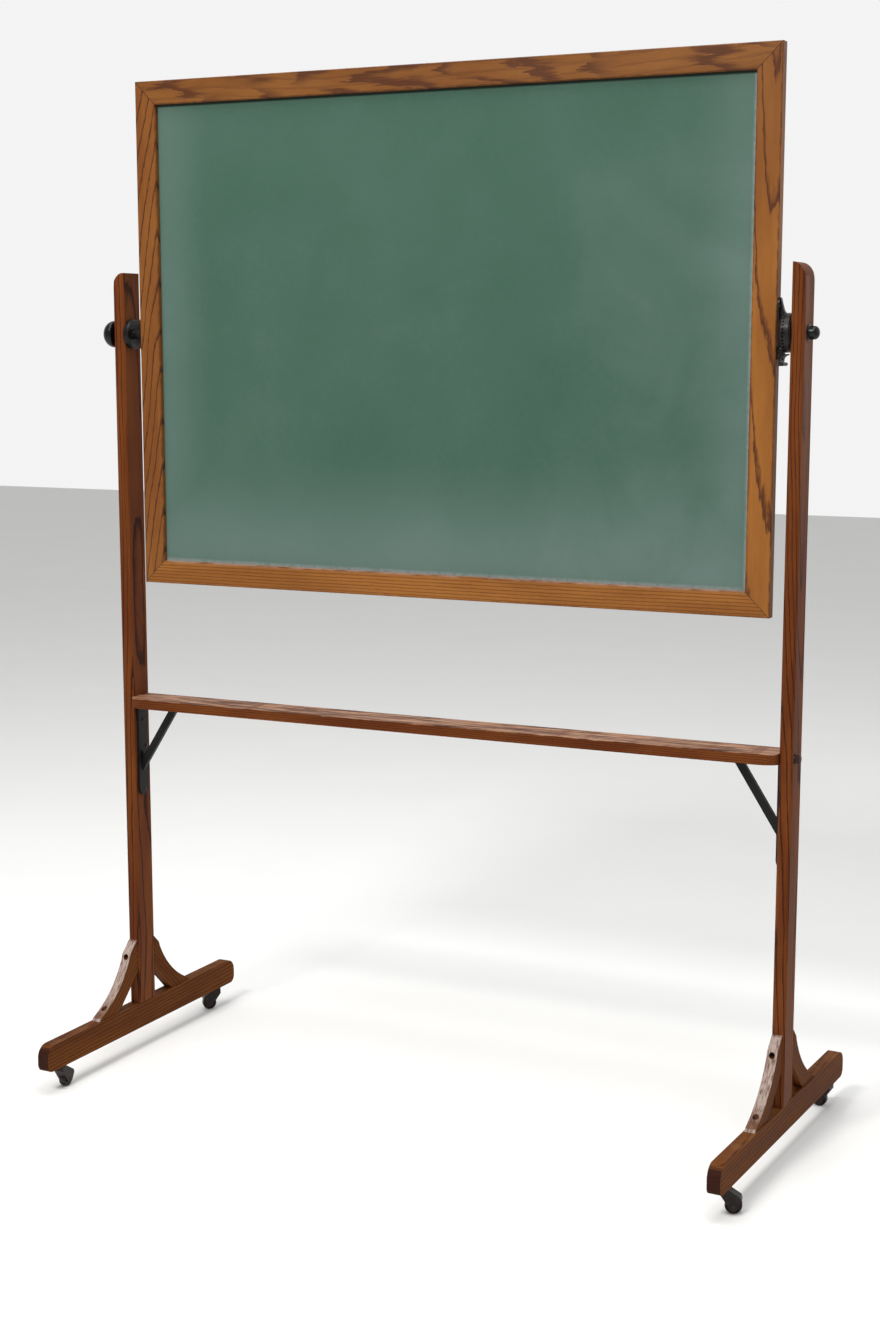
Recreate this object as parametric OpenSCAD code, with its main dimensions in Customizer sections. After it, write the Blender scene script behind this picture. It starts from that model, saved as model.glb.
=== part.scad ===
// Revolving school chalkboard on a two-post oak stand with a chalk tray and four casters.
// Millimetres. +X is the user's right, -Y is the front, +Z is up.
// The origin is on the floor, midway between the posts, under the board's pivot line.

/* [Board] */
// Width of the framed board over its stiles
board_w = 1324; // [1000:1:1500]
// Height of the framed board over its rails
board_h = 1000; // [800:1:1080]
// Thickness of the frame
board_t = 24; // [22:1:30]
// Face width of the rails and stiles
rail_face = 46; // [36:1:70]
// Thickness of the writing panel
panel_t = 5; // [4:0.5:8]
// How deep the panel sits in its groove
panel_groove = 8; // [5:1:12]
// Height of the pivot line above the middle of the board
pivot_rise = 5; // [0:1:10]

/* [Stand] */
// Height of the pivot line above the floor
pivot_z = 1514; // [1485:1:1560]
// Gap between the board's edge and the post
side_gap = 29.5; // [29:0.5:34]
// Thickness of a post, left to right
post_t = 25; // [22:1:32]
// Depth of a post, front to back
post_d = 62; // [56:1:70]
// How far the middle of a post stands behind the pivot line
post_back = 4; // [0:0.5:5]
// Height of a post above the pivot line
post_rise = 122; // [100:1:160]
// Bevel along a post's long edges
post_bevel = 4; // [1:0.5:5]
// Length of a foot
foot_len = 680; // [560:1:760]
// Height of a foot
foot_h = 54; // [46:1:64]
// Angle that the left foot has worked round to
foot_skew_left = 1.9; // [0:0.1:4]
// Angle that the right foot has worked round to
foot_skew_right = 3.3; // [0:0.1:4]

/* [Braces] */
// Thickness of a brace
brace_t = 20; // [16:1:24]
// Top of a brace above the foot
brace_rise = 137; // [125:1:150]
// Reach of a brace along the foot, from the middle of the post
brace_reach = 164; // [160:1:180]
// Radius of the brace's hollow curve
brace_curve_r = 210; // [190:1:260]

/* [Tray] */
// Height of the tray's top above the floor
tray_top_z = 768; // [700:1:850]
// Thickness of the tray
tray_t = 20; // [16:1:28]
// Reach of the tray's front edge from the middle of the posts
tray_front = 47; // [42:1:60]
// Length of each bracket's leg on the post
bracket_leg = 193; // [170:1:210]

/* [Casters] */
// Height of a caster under the foot
caster_h = 49; // [49:1:54]
// Diameter of a wheel
wheel_d = 31; // [30:1:34]
// Width of a wheel's tread
wheel_w = 15; // [12:0.5:18]
// Distance the axle trails behind the stem
caster_trail = 15.5; // [13:0.5:18]
// Distance from the middle of the foot to a stem
stem_reach = 283; // [260:1:300]
// Way the left front caster points, anticlockwise from the right
swivel_lf = 92; // [-180:1:180]
// Way the right front caster points
swivel_rf = 14; // [-180:1:180]
// Way the left rear caster points
swivel_lr = 222; // [-180:1:360]
// Way the right rear caster points
swivel_rr = 175; // [-180:1:180]

/* [Hidden] */
$fn = 48;
eps = 0.01;

// fits
snug = 0.05;
running = 0.08;

// board
half_w = board_w / 2;
half_h = board_h / 2;
board_mid_z = pivot_z - pivot_rise;
sight_w = board_w - 2 * rail_face;
sight_h = board_h - 2 * rail_face;
groove_slack = 0.5;
frame_bevel = 1.6;

// stand
inner_x = half_w + side_gap;
post_mid_x = inner_x + post_t / 2;
post_round_h = 34;
outer_x = inner_x + post_t;
post_top_z = pivot_z + post_rise;
foot_z = caster_h;
foot_top_z = foot_z + foot_h;
foot_top_r = 25;
foot_bottom_r = 15;
tenon_t = 12;
tenon_d = 40;
tenon_h = 36;

// pivot hardware
stud_r = 4;
plate_t = 4;
left_plate_w = 16;
left_plate_half = 32;
right_plate_w = 22;
right_plate_low = -28;
right_plate_high = 61;
disc_r = 34.5;
dish_r = 29.5;
disc_t = 12.5;
disc_gap = 0.5;
cup_depth = side_gap - plate_t - disc_t - disc_gap;
tooth_count = 32;
tooth_w = 2.4;
tooth_depth = 1.6;
dish_t = 10;
hub_r = 9;
cup_floor_r = 24;
cup_wall = 4;
cup_screw_r = 14.5;
board_screw_len = 26;
board_head_r = 3;
board_head_h = 2;
arm_w = 9;
lug_r = 5;
lug_w = 10;
lever_slack = 0.5;
knob_r = 27;
knob_neck_r = 12;
knob_neck_h = 8;
knob_dome_h = 22;
knob_lip_r = 6;
knob_bore = 32;
cap_r = 12;
cap_flange_r = 14.5;
cap_side_h = 11;
cap_dome_h = 9;
lever_z = pivot_z - 41;
lever_x = half_w + 7.5;
lever_w = 27;

// braces
brace_scribe = 8;
brace_top_z = foot_top_z + brace_rise;
brace_inner = 97;
curve_start = [56, brace_top_z - 32];
curve_end = [brace_reach - 21, foot_top_z + 14];
counterbore_r = 5.75;
screw_head_r = 4.8;
screw_head_h = 3;
screw_r = 2.2;
upper_screw_z = brace_top_z - 28;
upper_screw_seat = 40;
lower_screw_y = brace_reach - 30;
lower_screw_seat = foot_top_z + 9;
screw_len = 30;

// tray
tray_z = tray_top_z - tray_t;
tray_back = 30;
tray_corner_y = 28;
tray_corner_x = 40;
end_bolt_y = -14;
end_bolt_z = tray_z + tray_t / 2;
end_bolt_r = 4;
end_bolt_len = 60;
bolt_washer_r = 9;
bolt_washer_h = 2.5;

// tray brackets
bracket_w = 32;
bracket_t = 5;
bracket_mid_y = 2;
strut_t = 15;
strut_w = 9;
strut_foot_z = 621;
strut_head_x = inner_x - 86;
flange_len = 100;
flange_w = 24;
bracket_screw_r = 2;
bracket_head_r = 4.5;

// casters
wheel_r = wheel_d / 2;
wheel_gap = 0.8;
cheek_t = 3;
cheek_inner = wheel_w / 2 + wheel_gap;
cheek_outer = cheek_inner + cheek_t;
axle_r = 2.5;
stem_r = 4.5;
stem_h = 34;
socket_r = 7;
socket_plate_r = 11.5;
socket_plate_t = 1.5;
crown_z = caster_h - socket_plate_t - 0.5;

// Points of an arc of radius r between two angles about centre c.
function arc(c, r, a0, a1, steps) =
    [for (i = [0:steps]) c + r * [cos(a0 + (a1 - a0) * i / steps), sin(a0 + (a1 - a0) * i / steps)]];

// Centre of the circle of radius r through p and q, on the left of the way from p to q.
function arc_centre(p, q, r) =
    let (m = (p + q) / 2, d = norm(q - p), n = [-(q - p)[1], (q - p)[0]] / d)
    m + n * sqrt(r * r - d * d / 4);

function angle_of(v) = atan2(v[1], v[0]);

// ---------- board ----------

// A bar along X whose long edges are bevelled, centred on Y and Z.
module bevelled_bar(length, depth, height, bevel) {
    a = depth / 2;
    b = height / 2;
    rotate([90, 0, 90])
        translate([0, 0, -length / 2])
            linear_extrude(length)
                polygon([
                    [-a + bevel, -b], [a - bevel, -b], [a, -b + bevel], [a, b - bevel],
                    [a - bevel, b], [-a + bevel, b], [-a, b - bevel], [-a, -b + bevel]
                ]);
}

// Corner wedges that turn a bar of the given length into a mitred rail with its outer face up.
module mitred_rail(length) {
    intersection() {
        bevelled_bar(length, board_t, rail_face, frame_bevel);
        rotate([90, 0, 0])
            linear_extrude(2 * board_t, center = true)
                polygon([
                    [-length / 2, rail_face / 2], [length / 2, rail_face / 2],
                    [length / 2 - rail_face, -rail_face / 2], [-length / 2 + rail_face, -rail_face / 2]
                ]);
    }
}

// The groove that holds the panel is one slab, cut from every rail.
module panel_slab() {
    cube([sight_w + 2 * (panel_groove + groove_slack), panel_t,
          sight_h + 2 * (panel_groove + groove_slack)], center = true);
}

// A rail moved out to its side of the board and grooved: angle 0 is the top rail.
module frame_member(angle, length, reach) {
    color([0.59, 0.40, 0.20])
        translate([0, 0, board_mid_z])
            difference() {
                rotate([0, angle, 0])
                    translate([0, 0, reach - rail_face / 2])
                        mitred_rail(length);
                panel_slab();
            }
}

module frame_top_rail() {
    frame_member(0, board_w, half_h);
}

module frame_bottom_rail() {
    frame_member(180, board_w, half_h);
}

module frame_left_stile() {
    color([0.59, 0.40, 0.20])
        difference() {
            frame_member(-90, board_h, half_w);
            board_screw_shanks(-1, screw_r + snug);
            stud_root(stud_r + snug);
        }
}

module frame_right_stile() {
    color([0.59, 0.40, 0.20])
        difference() {
            frame_member(90, board_h, half_w);
            board_screw_shanks(1, screw_r + snug);
        }
}

module writing_panel() {
    color([0.33, 0.45, 0.39])
        translate([0, 0, board_mid_z])
            cube([sight_w + 2 * panel_groove, panel_t, sight_h + 2 * panel_groove], center = true);
}

// ---------- pivots on the board ----------

// Round bar along X from x0 to x1 on the pivot line.
module pivot_bar(r, x0, x1) {
    translate([min(x0, x1), 0, pivot_z])
        rotate([0, 90, 0])
            cylinder(r = r, h = abs(x1 - x0));
}

// Screws of each board plate: place front to back, height about the pivot, height of the head's seat.
left_plate_screws = [[0, -22, plate_t], [0, 22, plate_t]];
right_plate_screws = [
    [-7.8, 46, plate_t], [7.8, 46, plate_t], [0, -cup_screw_r, plate_t + cup_wall - 1]
];

module board_screw_shanks(side, r) {
    places = side < 0 ? left_plate_screws : right_plate_screws;
    for (p = places)
        translate([side * (half_w + p[2]), p[0], pivot_z + p[1]])
            rotate([0, -side * 90, 0])
                cylinder(r = r, h = board_screw_len + p[2]);
}

module plate_screw_heads(side) {
    places = side < 0 ? left_plate_screws : right_plate_screws;
    for (p = places)
        translate([side * (half_w + p[2]), p[0], pivot_z + p[1]])
            rotate([0, side * 90, 0])
                screw_dome(board_head_r, board_head_h);
}

// Low domed screw head that stands on the XY plane.
module screw_dome(r, h) {
    ball_r = (r * r + h * h) / (2 * h);
    intersection() {
        translate([0, 0, h - ball_r])
            sphere(r = ball_r);
        cylinder(r = r, h = h);
    }
}

// Flat bar on the board's edge with round ends, between two heights about the pivot.
module edge_plate(low, high, width) {
    rotate([0, 90, 0])
        linear_extrude(plate_t)
            union() {
                translate([-high + width / 2, -width / 2])
                    square([high - low - width, width]);
                translate([-high + width / 2, 0])
                    circle(d = width);
                translate([-low - width / 2, 0])
                    circle(d = width);
            }
}

module left_board_plate() {
    color([0.10, 0.09, 0.09])
        difference() {
            union() {
                translate([-half_w, 0, pivot_z])
                    mirror([1, 0, 0])
                        edge_plate(-left_plate_half, left_plate_half, left_plate_w);
                pivot_bar(hub_r, -half_w, -inner_x + dish_t + disc_gap);
            }
            pivot_bar(stud_r + snug, -half_w + 1, -inner_x);
            board_screw_shanks(-1, screw_r + snug);
        }
}

// The toothed cup, turned about the pivot line: a flared wall round a central hub.
module toothed_cup() {
    rotate_extrude()
        polygon([
            [0, 0], [cup_floor_r, 0], [disc_r - 1.5, cup_depth - 5], [disc_r, cup_depth - 3],
            [disc_r, cup_depth], [disc_r - cup_wall, cup_depth], [cup_floor_r - cup_wall, cup_wall - 1],
            [hub_r, cup_wall - 1], [hub_r, cup_depth], [0, cup_depth]
        ]);
}

// Shallow radial notches in a ring face; the face is the XY plane and the notches open upwards.
module ring_notches() {
    for (i = [0:tooth_count - 1])
        rotate(i * 360 / tooth_count)
            translate([disc_r - 5, -tooth_w / 2, -tooth_depth])
                cube([7, tooth_w, tooth_depth + 1]);
}

// Upper arm of the right plate, tapering from the cup to the plate's tip.
module cup_arm() {
    translate([half_w, arm_w / 2, pivot_z])
        rotate([90, 0, 0])
            linear_extrude(arm_w)
                polygon([
                    [0, 22], [0, right_plate_high], [plate_t + 0.5, right_plate_high],
                    [plate_t + 2, right_plate_high - 6], [8, 47], [10.5, 39], [14, 33.5], [14, 24]
                ]);
}

// Lug that carries the lever: from the plate out to the pin, and up to the cup.
module lever_lug() {
    reach = lever_x - half_w;
    translate([half_w, 0, lever_z])
        rotate([90, 0, 0])
            linear_extrude(lug_w, center = true)
                polygon(concat(
                    [[0, 14], [0, -lug_r]],
                    arc([reach, 0], lug_r, -90, 0, 6),
                    [[reach + lug_r, 12]]
                ));
}

module right_board_plate() {
    color([0.13, 0.11, 0.11])
        difference() {
            union() {
                translate([half_w, 0, pivot_z])
                    edge_plate(right_plate_low, right_plate_high, right_plate_w);
                translate([half_w + plate_t, 0, pivot_z])
                    rotate([0, 90, 0])
                        toothed_cup();
                cup_arm();
                lever_lug();
            }
            translate([half_w + plate_t + cup_depth, 0, pivot_z])
                rotate([0, 90, 0])
                    ring_notches();
            pivot_bar(stud_r + running, half_w + 3, inner_x);
            lever_bar(2 + snug, 40);
            board_screw_shanks(1, screw_r + snug);
        }
}

module board_plate_screws() {
    color([0.16, 0.14, 0.13]) {
        for (side = [-1, 1]) {
            board_screw_shanks(side, screw_r);
            plate_screw_heads(side);
        }
    }
}

// Bar along Y through the lever's pin axis.
module lever_bar(r, length) {
    translate([lever_x, 0, lever_z])
        rotate([90, 0, 0])
            cylinder(r = r, h = length, center = true);
}

module lever_pin() {
    color([0.16, 0.14, 0.13])
        lever_bar(2, lever_w + 1);
}

// Side outline of the release lever, with its pin at the origin: a hollow flare over a rounded tab.
module lever_outline() {
    polygon(concat(
        [[11, 3.2], [10.5, 4.2]],
        arc([0, 0], 4.5, 69, 206, 10),
        [[-2, -4], [-2, -16.7]],
        arc([4.5, -13.5], 3.2, -90, 150, 12),
        [[1.5, -11]],
        arc([11, -7.5], 9.5, 180, 95, 8)
    ));
}

module release_lever() {
    slot_w = lug_w + 2 * lever_slack;
    color([0.09, 0.08, 0.08])
        difference() {
            translate([lever_x, 0, lever_z])
                rotate([90, 0, 0])
                    linear_extrude(lever_w, center = true)
                        lever_outline();
            translate([half_w, -slot_w / 2, lever_z - lug_r - 2])
                cube([side_gap, slot_w, 20]);
            lever_bar(2 + running, 40);
        }
}

module stud_root(r) {
    pivot_bar(r, -half_w + 20, -half_w - 1);
}

module pivot_stud() {
    color([0.20, 0.19, 0.18])
        pivot_bar(stud_r, -half_w + 20, -outer_x - 30);
}

// Domed hand knob on a short neck; the neck stands on the XY plane.
module clamp_knob() {
    color([0.05, 0.05, 0.05])
        translate([-outer_x - disc_gap, 0, pivot_z])
            rotate([0, -90, 0])
                difference() {
                    rotate_extrude()
                        polygon(concat(
                            [[0, 0], [knob_neck_r, 0], [knob_neck_r, knob_neck_h - 3]],
                            [[knob_r - knob_lip_r, knob_neck_h]],
                            arc([knob_r - knob_lip_r, knob_neck_h + knob_lip_r], knob_lip_r, -80, 0, 5),
                            [for (a = [10:10:90])
                                [knob_r * cos(a), knob_neck_h + knob_lip_r + knob_dome_h * sin(a)]]
                        ));
                    translate([0, 0, -1])
                        cylinder(r = stud_r + running, h = knob_bore);
                }
}

// ---------- pivots on the posts ----------

module left_pivot_dish() {
    color([0.10, 0.10, 0.11])
        translate([-inner_x, 0, pivot_z])
            rotate([0, 90, 0])
                difference() {
                    rotate_extrude()
                        polygon([
                            [0, 0], [dish_r, 0], [dish_r, dish_t - 3], [dish_r - 2, dish_t],
                            [dish_r - 5, dish_t], [hub_r + 6, 4], [hub_r + 2, 4],
                            [hub_r, dish_t], [0, dish_t]
                        ]);
                    translate([0, 0, -1])
                        cylinder(r = stud_r + running, h = dish_t + 2);
                }
}

module right_pivot_disc() {
    color([0.10, 0.09, 0.09])
        translate([inner_x, 0, pivot_z])
            rotate([0, -90, 0])
                difference() {
                    rotate_extrude()
                        polygon([
                            [0, 0], [disc_r - 3, 0], [disc_r, 3], [disc_r, disc_t],
                            [disc_r - 5, disc_t], [hub_r + 6, 5], [hub_r + 2, 5],
                            [hub_r, disc_t], [0, disc_t]
                        ]);
                    translate([0, 0, disc_t])
                        ring_notches();
                    translate([0, 0, -1])
                        cylinder(r = stud_r + snug, h = disc_t + 2);
                }
}

module right_pivot_pin() {
    color([0.16, 0.14, 0.13])
        pivot_bar(stud_r, half_w + plate_t + 1, outer_x + 12);
}

module right_cap_knob() {
    color([0.06, 0.06, 0.06])
        translate([outer_x, 0, pivot_z])
            rotate([0, 90, 0])
                difference() {
                    rotate_extrude()
                        polygon(concat(
                            [[0, 0], [cap_flange_r, 0], [cap_flange_r, 1.5], [cap_r, 3], [cap_r, cap_side_h]],
                            [for (a = [15:15:90]) [cap_r * cos(a), cap_side_h + cap_dome_h * sin(a)]]
                        ));
                    translate([0, 0, -1])
                        cylinder(r = stud_r + snug, h = 13);
                }
}

// ---------- posts and feet ----------

// Plan outline of a post with bevelled corners.
module post_section() {
    a = post_t / 2;
    b = post_d / 2;
    c = post_bevel;
    polygon([
        [-a + c, -b], [a - c, -b], [a, -b + c], [a, b - c],
        [a - c, b], [-a + c, b], [-a, b - c], [-a, -b + c]
    ]);
}

// Front outline of a right post: square inside, rounded down over the outer top.
module post_front() {
    height = post_top_z - foot_top_z;
    polygon(concat(
        [[-post_t / 2, 0], [post_t / 2, 0]],
        [for (a = [0:7.5:90])
            [-post_t / 2 + post_t * cos(a), height - post_round_h * (1 - sin(a))]]
    ));
}

module post_stock() {
    translate([0, 0, foot_top_z])
        intersection() {
            translate([0, post_back, 0])
                linear_extrude(post_top_z - foot_top_z)
                    post_section();
            translate([0, post_d, 0])
                rotate([90, 0, 0])
                    linear_extrude(2 * post_d)
                        post_front();
        }
    translate([0, 0, foot_top_z - tenon_h / 2 + eps])
        cube([tenon_t, tenon_d, tenon_h], center = true);
}

module post(side) {
    color([0.42, 0.24, 0.13])
        difference() {
            translate([side * post_mid_x, 0, 0])
                mirror([side < 0 ? 1 : 0, 0, 0])
                    post_stock();
            pivot_bar(stud_r + running, side * (inner_x - 1), side * (outer_x + 1));
            tray_bolt(end_bolt_r + snug);
            bracket_leg_screws(side, bracket_screw_r + snug);
            for (end = [-1, 1])
                on_foot(side, end)
                    upper_screw(screw_r + snug);
        }
}

module left_post() {
    post(-1);
}

module right_post() {
    post(1);
}

// Turns with a foot about its post, then faces the front (-1) or the rear (1) end.
module on_foot(side, end) {
    skew = side < 0 ? foot_skew_left : foot_skew_right;
    translate([side * post_mid_x, 0, 0])
        rotate(-skew)
            mirror([0, end < 0 ? 1 : 0, 0])
                children();
}

// Side outline of a foot: round upper and lower end corners.
module foot_side() {
    a = foot_len / 2;
    polygon(concat(
        arc([a - foot_bottom_r, foot_bottom_r], foot_bottom_r, -90, 0, 8),
        arc([a - foot_top_r, foot_h - foot_top_r], foot_top_r, 0, 90, 8),
        arc([-a + foot_top_r, foot_h - foot_top_r], foot_top_r, 90, 180, 8),
        arc([-a + foot_bottom_r, foot_bottom_r], foot_bottom_r, 180, 270, 8)
    ));
}

module foot(side) {
    color([0.38, 0.22, 0.14])
        difference() {
            on_foot(side, 1)
                translate([0, 0, foot_z])
                    rotate([90, 0, 90])
                        linear_extrude(post_t, center = true)
                            foot_side();
            translate([side * post_mid_x, 0, foot_top_z - tenon_h / 2])
                cube([tenon_t + snug, tenon_d + snug, tenon_h + snug], center = true);
            for (end = [-1, 1]) {
                on_foot(side, end)
                    lower_screw(screw_r + snug);
                on_foot(side, end)
                    translate([0, stem_reach, foot_z - 1])
                        cylinder(r = socket_r + snug, h = stem_h + 3);
            }
        }
}

module left_foot() {
    foot(-1);
}

module right_foot() {
    foot(1);
}

// ---------- braces ----------

// Side outline of a brace: outward from the post and up from the floor.
module brace_side() {
    seat = post_d / 2 - brace_scribe;
    mid = arc_centre(curve_start, curve_end, brace_curve_r);
    start_angle = angle_of(curve_end - mid);
    end_angle = angle_of(curve_start - mid);
    polygon(concat(
        [[brace_inner, foot_top_z], [brace_reach, foot_top_z], [brace_reach - 4, foot_top_z + 5]],
        arc(mid, brace_curve_r, start_angle, end_angle, 14),
        [[52, brace_top_z - 21], [48, brace_top_z - 17], [31, brace_top_z], [seat, brace_top_z + 5]],
        [[seat, foot_top_z + brace_inner - seat]]
    ));
}

module upper_screw(r) {
    translate([0, upper_screw_seat + screw_head_h, upper_screw_z])
        rotate([90, 0, 0])
            cylinder(r = r, h = screw_len);
}

module lower_screw(r) {
    translate([0, lower_screw_y, lower_screw_seat + screw_head_h - screw_len])
        cylinder(r = r, h = screw_len);
}

module brace_counterbores() {
    depth = 60;
    translate([0, upper_screw_seat + depth, upper_screw_z])
        rotate([90, 0, 0])
            cylinder(r = counterbore_r, h = depth);
    translate([0, lower_screw_y, lower_screw_seat])
        cylinder(r = counterbore_r, h = depth);
}

module brace_stock() {
    difference() {
        rotate([90, 0, 90])
            linear_extrude(brace_t, center = true)
                brace_side();
        brace_counterbores();
        upper_screw(screw_r + snug);
        lower_screw(screw_r + snug);
    }
}

module brace(side, end) {
    color([0.40, 0.24, 0.14])
        difference() {
            on_foot(side, end)
                brace_stock();
            translate([side * post_mid_x, post_back, foot_top_z + post_d * 2])
                cube([2 * post_d, post_d, post_d * 4], center = true);
        }
}

module brace_left_front() {
    brace(-1, -1);
}

module brace_left_rear() {
    brace(-1, 1);
}

module brace_right_front() {
    brace(1, -1);
}

module brace_right_rear() {
    brace(1, 1);
}

module brace_screws() {
    color([0.15, 0.12, 0.10])
        for (side = [-1, 1], end = [-1, 1])
            on_foot(side, end) {
                upper_screw(screw_r);
                translate([0, upper_screw_seat, upper_screw_z])
                    rotate([-90, 0, 0])
                        screw_dome(screw_head_r, screw_head_h);
                lower_screw(screw_r);
                translate([0, lower_screw_y, lower_screw_seat])
                    screw_dome(screw_head_r, screw_head_h);
            }
}

// ---------- tray ----------

// Plan outline of the tray, its front corners drawn back in a quarter ellipse.
module tray_plan() {
    polygon(concat(
        [[inner_x, tray_back], [-inner_x, tray_back]],
        [for (a = [90:-15:0])
            [-inner_x + tray_corner_x * (1 - sin(a)), -tray_corner_y - (tray_front - tray_corner_y) * cos(a)]],
        [for (a = [0:15:90])
            [inner_x - tray_corner_x * (1 - sin(a)), -tray_corner_y - (tray_front - tray_corner_y) * cos(a)]]
    ));
}

module chalk_tray() {
    color([0.45, 0.30, 0.20])
        difference() {
            translate([0, 0, tray_z])
                linear_extrude(tray_t)
                    tray_plan();
            tray_bolt(end_bolt_r + snug);
            for (side = [-1, 1])
                bracket_flange_screws(side, bracket_screw_r + snug);
        }
}

// Shank of the bolt that runs through the right post into the tray's end.
module tray_bolt(r) {
    translate([outer_x + bolt_washer_h + 0.5, end_bolt_y, end_bolt_z])
        rotate([0, -90, 0])
            cylinder(r = r, h = end_bolt_len);
}

module tray_end_bolt() {
    head_r = 8;
    head_h = 9;
    color([0.20, 0.15, 0.13]) {
        tray_bolt(end_bolt_r);
        translate([outer_x + bolt_washer_h, end_bolt_y, end_bolt_z])
            rotate([0, 90, 0])
                intersection() {
                    cylinder(r = head_r, h = head_h, $fn = 6);
                    cylinder(r1 = head_r + 2, r2 = head_r - 1.5, h = head_h);
                }
    }
}

module tray_bolt_washer() {
    color([0.20, 0.15, 0.13])
        translate([outer_x, end_bolt_y, end_bolt_z])
            rotate([0, 90, 0])
                difference() {
                    cylinder(r = bolt_washer_r, h = bolt_washer_h);
                    translate([0, 0, -1])
                        cylinder(r = end_bolt_r + snug, h = 2 * bolt_washer_h);
                }
}

// Places of the screws in a bracket's leg: front to back, and down from the tray.
leg_screws = [[2, -33], [12, -89], [4, -182]];

// Places of the screws in a bracket's flange, in from the post.
flange_screws = [30, 60];

module bracket_leg_screws(side, r) {
    for (p = leg_screws)
        translate([side * (inner_x - bracket_t), p[0], tray_z + p[1]])
            rotate([0, side * 90, 0])
                cylinder(r = r, h = 22);
}

module bracket_flange_screws(side, r) {
    for (d = flange_screws)
        translate([side * (inner_x - d), bracket_mid_y + 7, tray_z - bracket_t])
            cylinder(r = r, h = 18);
}

module bracket_leg_plate() {
    translate([-bracket_t, 0, 0])
        rotate([90, 0, 90])
            linear_extrude(bracket_t)
                union() {
                    translate([bracket_mid_y - bracket_w / 2, -bracket_leg + bracket_w / 2])
                        square([bracket_w, bracket_leg - bracket_w / 2]);
                    translate([bracket_mid_y, -bracket_leg + bracket_w / 2])
                        circle(d = bracket_w);
                }
}

// Slanting strut with a curved crotch where it leaves the leg.
module bracket_strut() {
    low = strut_foot_z - tray_z;
    head = strut_head_x - inner_x;
    run = -bracket_t - head;
    lean = atan2(-low, run);
    half_up = strut_t / 2 / sin(lean);
    half_out = strut_t / 2 / cos(lean);
    crotch = 10;
    translate([0, bracket_mid_y + strut_w / 2, 0])
        rotate([90, 0, 0])
            linear_extrude(strut_w)
                polygon([
                    [head - half_up, 0], [head + half_up, 0],
                    [-bracket_t - crotch * cos(lean), low + half_out + crotch * sin(lean)],
                    [-bracket_t - crotch * 0.3, low + half_out + crotch],
                    [-bracket_t, low + half_out + crotch * 1.6],
                    [-1, low + half_out + crotch * 1.6],
                    [-1, low - half_out], [-bracket_t, low - half_out]
                ]);
}

module bracket_flange() {
    translate([-flange_len, bracket_mid_y - flange_w / 2, -bracket_t])
        cube([flange_len, flange_w, bracket_t]);
}

module bracket(side) {
    color([0.07, 0.07, 0.07])
        difference() {
            mirror([side < 0 ? 1 : 0, 0, 0])
                translate([inner_x, 0, tray_z]) {
                    bracket_leg_plate();
                    bracket_strut();
                    bracket_flange();
                }
            bracket_leg_screws(side, bracket_screw_r + snug);
            bracket_flange_screws(side, bracket_screw_r + snug);
        }
}

module left_tray_bracket() {
    bracket(-1);
}

module right_tray_bracket() {
    bracket(1);
}

module tray_bracket_screws() {
    color([0.22, 0.22, 0.22])
        for (side = [-1, 1]) {
            bracket_leg_screws(side, bracket_screw_r);
            bracket_flange_screws(side, bracket_screw_r);
            for (p = leg_screws)
                translate([side * (inner_x - bracket_t), p[0], tray_z + p[1]])
                    rotate([0, -side * 90, 0])
                        screw_dome(bracket_head_r, 2.4);
            for (d = flange_screws)
                translate([side * (inner_x - d), bracket_mid_y + 7, tray_z - bracket_t])
                    rotate([180, 0, 0])
                        screw_dome(bracket_head_r, 2.4);
        }
}

// ---------- casters ----------

// Puts a caster's stem axis at its place under a foot; inside, +X is the way the caster trails.
module at_caster(side, end) {
    skew = side < 0 ? foot_skew_left : foot_skew_right;
    swivel = side < 0 ? (end < 0 ? swivel_lf : swivel_lr) : (end < 0 ? swivel_rf : swivel_rr);
    translate([
        side * post_mid_x + end * stem_reach * sin(skew),
        end * stem_reach * cos(skew),
        0
    ])
        rotate(swivel)
            children();
}

module caster_sockets() {
    color([0.18, 0.15, 0.13])
        for (side = [-1, 1], end = [-1, 1])
            at_caster(side, end)
                difference() {
                    union() {
                        translate([0, 0, foot_z])
                            cylinder(r = socket_r, h = stem_h + 2);
                        translate([0, 0, foot_z - socket_plate_t])
                            cylinder(r = socket_plate_r, h = socket_plate_t);
                    }
                    translate([0, 0, foot_z - 5])
                        cylinder(r = stem_r + running, h = stem_h + 5.5);
                }
}

// Side outline of a fork: hood over the wheel, cheeks down to the axle.
module fork_side() {
    hood_end = caster_trail + 13;
    union() {
        polygon([
            [-9, crown_z], [4, crown_z], [hood_end, wheel_r + 16], [hood_end + 2, wheel_r + 9],
            [caster_trail + 7.5, wheel_r - 3], [caster_trail - 7.5, wheel_r - 3], [-9, crown_z - 10]
        ]);
        translate([caster_trail, wheel_r])
            circle(r = 8);
    }
}

module fork(side, end) {
    color([0.11, 0.09, 0.09])
        at_caster(side, end)
            difference() {
                union() {
                    rotate([90, 0, 0])
                        linear_extrude(2 * cheek_outer, center = true)
                            fork_side();
                    translate([0, 0, crown_z - 1])
                        cylinder(r = stem_r, h = stem_h + 1);
                    translate([0, 0, crown_z - 6])
                        cylinder(r = 10, h = 6);
                }
                translate([caster_trail, 0, wheel_r])
                    rotate([90, 0, 0])
                        cylinder(r = wheel_r + 1.5, h = 2 * cheek_inner, center = true);
                translate([caster_trail - wheel_r - 1.5, -cheek_inner, -1])
                    cube([2 * wheel_r + 3, 2 * cheek_inner, wheel_r + 1]);
                caster_axle(axle_r + snug, 40);
            }
}

// Bar along the axle's line.
module caster_axle(r, length) {
    translate([caster_trail, 0, wheel_r])
        rotate([90, 0, 0])
            cylinder(r = r, h = length, center = true);
}

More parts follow.
